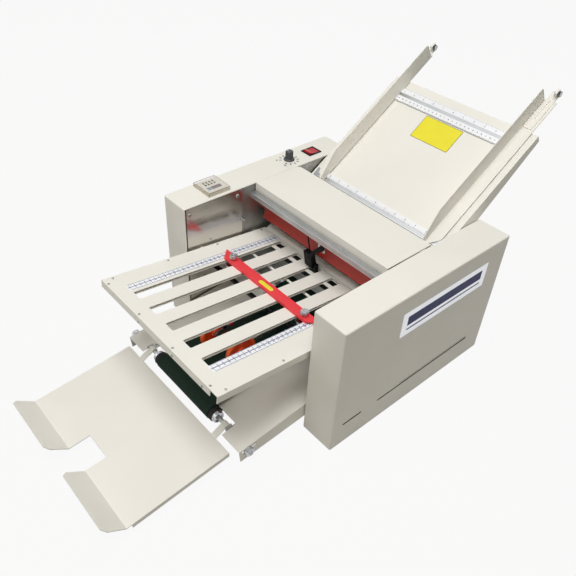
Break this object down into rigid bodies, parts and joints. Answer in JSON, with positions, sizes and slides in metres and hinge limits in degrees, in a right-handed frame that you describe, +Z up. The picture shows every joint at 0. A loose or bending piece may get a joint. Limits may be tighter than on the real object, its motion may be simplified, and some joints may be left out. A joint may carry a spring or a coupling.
{
  "type": "paper folding machine",
  "caption": "Table-top paper folding machine with a friction feed tray, slotted front fold plate, rear fold plate, belt delivery and folding exit tray",
  "frame": {"origin": "on the table under the middle of the machine, halfway between its front and rear ends", "axes": "+X to the operator's right, +Y towards the rear and the feed tray, +Z up"},
  "size_m": [0.4852, 1.0102, 0.4734],
  "materials": {
    "ivory_paint": "fine satin powder coat, ivory",
    "polished_steel": "polished sheet",
    "zinc_steel": "zinc plated, satin",
    "aluminium": "extruded, anodised",
    "bright_steel": "nickel plated, bright",
    "red_paint": "satin powder coat, red",
    "dark_red_paint": "satin powder coat, dark red",
    "orange_plastic": "moulded, orange",
    "green_belt": "woven conveyor belt, dark green",
    "black_plastic": "moulded, black",
    "black_rubber": "moulded rubber, black",
    "gray_rubber": "ground roller rubber, grey",
    "red_plastic": "translucent red, glossy",
    "cream_plastic": "moulded, cream",
    "white_plastic": "moulded gear plastic, white",
    "clear_plastic": "clear acrylic"
  },
  "bodies": {
    "machine": {"left_cover": "ivory_paint", "right_cover": "ivory_paint", "left_side_frame": "zinc_steel", "right_side_frame": "zinc_steel", "left_inner_plate": "polished_steel", "right_inner_plate": "polished_steel", "foot_strip_left": "black_rubber", "foot_strip_right": "black_rubber", "base_plate": "zinc_steel", "top_cover": "ivory_paint", "profile_bar": "aluminium", "sensor_body": "black_plastic", "sensor_bracket": "aluminium", "fold_plate_top": "ivory_paint", "fold_plate_bottom": "ivory_paint", "feed_tray": "ivory_paint", "lower_rail": "aluminium", "upper_rail": "aluminium", "rear_fold_plate": "ivory_paint", "separator_pad": "black_rubber", "drive_motor": "zinc_steel", "delivery_plate": "ivory_paint", "conveyor_belt": "green_belt", "tension_bracket": "zinc_steel", "press_wheel_shaft": "bright_steel", "counter_case": "cream_plastic", "power_inlet": "black_plastic"},
    "guard": {"roller_guard": "dark_red_paint"},
    "stop": {"stop_bar": "red_paint"},
    "rear_stop": {"rear_fold_stop": "bright_steel"},
    "feed_roller": {"feed_roller": "gray_rubber"},
    "upper_roller": {"upper_fold_roller": "gray_rubber", "upper_gear": "white_plastic"},
    "main_roller": {"main_fold_roller": "bright_steel", "main_gear": "white_plastic"},
    "second_roller": {"second_fold_roller": "gray_rubber", "second_gear": "white_plastic"},
    "lower_roller": {"lower_fold_roller": "gray_rubber", "lower_gear": "white_plastic"},
    "pinion": {"motor_pinion": "bright_steel"},
    "conveyor_rear": {"conveyor_rear_roller": "bright_steel"},
    "conveyor_front": {"conveyor_front_roller": "bright_steel"},
    "exit_tray": {"exit_tray": "ivory_paint"},
    "speed_knob": {"speed_knob": "black_plastic"},
    "power_rocker": {"power_rocker": "red_plastic"},
    "counter_cover": {"counter_cover": "clear_plastic"},
    "stop_screw_left": {"stop_thumbscrew_left": "bright_steel"},
    "guide_left": {"side_guide_left": "ivory_paint"},
    "extension_left": {"guide_extension_left": "ivory_paint"},
    "tip_screw_left": {"guide_lock_screw_left": "bright_steel"},
    "press_arm_left": {"press_arm_left": "zinc_steel"},
    "press_wheel_left": {"press_wheel_left": "orange_plastic"},
    "tension_nut_left": {"tension_nut_left": "bright_steel"},
    "stop_screw_right": {"stop_thumbscrew_right": "bright_steel"},
    "guide_right": {"side_guide_right": "ivory_paint"},
    "extension_right": {"guide_extension_right": "ivory_paint"},
    "tip_screw_right": {"guide_lock_screw_right": "bright_steel"},
    "press_arm_right": {"press_arm_right": "zinc_steel"},
    "press_wheel_right": {"press_wheel_right": "orange_plastic"},
    "tension_nut_right": {"tension_nut_right": "bright_steel"}
  },
  "joints": [
    {"name": "main_roller_spin", "type": "hinge", "parent": "machine", "child": "main_roller", "pos_m": [0, 0.10234, 0.1545], "axis": [1, 0, 0], "continuous": true},
    {"name": "upper_roller_spin", "type": "hinge", "parent": "machine", "child": "upper_roller", "pos_m": [0, 0.0945, 0.18594], "axis": [1, 0, 0], "continuous": true},
    {"name": "second_roller_spin", "type": "hinge", "parent": "machine", "child": "second_roller", "pos_m": [0, 0.10797, 0.12259], "axis": [1, 0, 0], "continuous": true},
    {"name": "lower_roller_spin", "type": "hinge", "parent": "machine", "child": "lower_roller", "pos_m": [0, 0.11135, 0.09037], "axis": [1, 0, 0], "continuous": true},
    {"name": "pinion_spin", "type": "hinge", "parent": "machine", "child": "pinion", "pos_m": [0.19, 0.13528, 0.09459], "axis": [1, 0, 0], "continuous": true},
    {"name": "feed_roller_spin", "type": "hinge", "parent": "machine", "child": "feed_roller", "pos_m": [0, 0.1337, 0.23072], "axis": [1, 0, 0], "continuous": true},
    {"name": "conveyor_rear_spin", "type": "hinge", "parent": "machine", "child": "conveyor_rear", "pos_m": [0, 0.06131, 0.07878], "axis": [1, 0, 0], "continuous": true},
    {"name": "conveyor_front_spin", "type": "hinge", "parent": "machine", "child": "conveyor_front", "pos_m": [0, -0.24966, 0.045], "axis": [1, 0, 0], "continuous": true},
    {"name": "stop_bar_slide", "type": "slide", "parent": "machine", "child": "stop", "axis": [0, 0.9942, -0.1075], "range_m": [-0.195, 0.09]},
    {"name": "side_guide_left_slide", "type": "slide", "parent": "machine", "child": "guide_left", "axis": [1, 0, 0], "range_m": [-0.011, 0.1]},
    {"name": "side_guide_right_slide", "type": "slide", "parent": "machine", "child": "guide_right", "axis": [1, 0, 0], "range_m": [-0.1, 0.011]},
    {"name": "rear_stop_slide", "type": "slide", "parent": "machine", "child": "rear_stop", "axis": [0, 0.8316, 0.5554], "range_m": [-0.095, 0.028]},
    {"name": "roller_guard_lift", "type": "hinge", "parent": "machine", "child": "guard", "pos_m": [0, 0.06434, 0.215], "axis": [1, 0, 0], "range_deg": [0, 40]},
    {"name": "exit_tray_fold", "type": "hinge", "parent": "machine", "child": "exit_tray", "pos_m": [0, -0.24966, 0.045], "axis": [-1, 0, 0], "range_deg": [0, 60]},
    {"name": "speed_knob_turn", "type": "hinge", "parent": "machine", "child": "speed_knob", "pos_m": [-0.207, 0.15834, 0.2765], "axis": [0, 0, -1], "range_deg": [0, 300]},
    {"name": "power_rocker_tilt", "type": "hinge", "parent": "machine", "child": "power_rocker", "pos_m": [-0.206, 0.22034, 0.2735], "axis": [1, 0, 0], "range_deg": [0, 12]},
    {"name": "counter_cover_lift", "type": "hinge", "parent": "machine", "child": "counter_cover", "pos_m": [-0.209, -0.01266, 0.2795], "axis": [-1, 0, 0], "range_deg": [0, 100]},
    {"name": "stop_screw_left_turn", "type": "hinge", "parent": "stop", "child": "stop_screw_left", "pos_m": [-0.1, -0.06963, 0.18005], "axis": [0, 0.1075, 0.9942], "range_deg": [-180, 180]},
    {"name": "extension_left_slide", "type": "slide", "parent": "guide_left", "child": "extension_left", "axis": [0, 0.8316, 0.5554], "range_m": [-0.009, 0.02]},
    {"name": "tip_screw_left_turn", "type": "hinge", "parent": "extension_left", "child": "tip_screw_left", "pos_m": [-0.1385, 0.49455, 0.46465], "axis": [1, 0, 0], "range_deg": [-180, 180]},
    {"name": "press_arm_left_lift", "type": "hinge", "parent": "machine", "child": "press_arm_left", "pos_m": [-0.025, -0.05166, 0.10952], "axis": [-1, 0, 0], "range_deg": [0, 18]},
    {"name": "press_wheel_left_spin", "type": "hinge", "parent": "press_arm_left", "child": "press_wheel_left", "pos_m": [-0.0335, -0.16306, 0.09997], "axis": [1, 0, 0], "continuous": true},
    {"name": "tension_nut_left_turn", "type": "hinge", "parent": "machine", "child": "tension_nut_left", "pos_m": [-0.177, -0.2489, 0.03804], "axis": [1, 0, 0], "range_deg": [-180, 180]},
    {"name": "stop_screw_right_turn", "type": "hinge", "parent": "stop", "child": "stop_screw_right", "pos_m": [0.1, -0.06963, 0.18005], "axis": [0, 0.1075, 0.9942], "range_deg": [-180, 180]},
    {"name": "extension_right_slide", "type": "slide", "parent": "guide_right", "child": "extension_right", "axis": [0, 0.8316, 0.5554], "range_m": [-0.02, 0.02]},
    {"name": "tip_screw_right_turn", "type": "hinge", "parent": "extension_right", "child": "tip_screw_right", "pos_m": [0.156, 0.49455, 0.46465], "axis": [1, 0, 0], "range_deg": [-180, 180]},
    {"name": "press_arm_right_lift", "type": "hinge", "parent": "machine", "child": "press_arm_right", "pos_m": [0.025, -0.05166, 0.10952], "axis": [-1, 0, 0], "range_deg": [0, 18]},
    {"name": "press_wheel_right_spin", "type": "hinge", "parent": "press_arm_right", "child": "press_wheel_right", "pos_m": [0.0335, -0.15566, 0.10078], "axis": [1, 0, 0], "continuous": true},
    {"name": "tension_nut_right_turn", "type": "hinge", "parent": "machine", "child": "tension_nut_right", "pos_m": [0.177, -0.2489, 0.03804], "axis": [1, 0, 0], "range_deg": [-180, 180]}
  ],
  "couplings": [
    {"joint": "upper_roller_spin", "follows": "main_roller_spin", "ratio": -1},
    {"joint": "second_roller_spin", "follows": "main_roller_spin", "ratio": -1},
    {"joint": "lower_roller_spin", "follows": "main_roller_spin", "ratio": 1},
    {"joint": "pinion_spin", "follows": "main_roller_spin", "ratio": -2},
    {"joint": "feed_roller_spin", "follows": "main_roller_spin", "ratio": -0.8},
    {"joint": "conveyor_rear_spin", "follows": "main_roller_spin", "ratio": 1},
    {"joint": "conveyor_front_spin", "follows": "main_roller_spin", "ratio": 1},
    {"joint": "press_wheel_left_spin", "follows": "main_roller_spin", "ratio": -0.4516},
    {"joint": "press_wheel_right_spin", "follows": "main_roller_spin", "ratio": -0.4516}
  ]
}
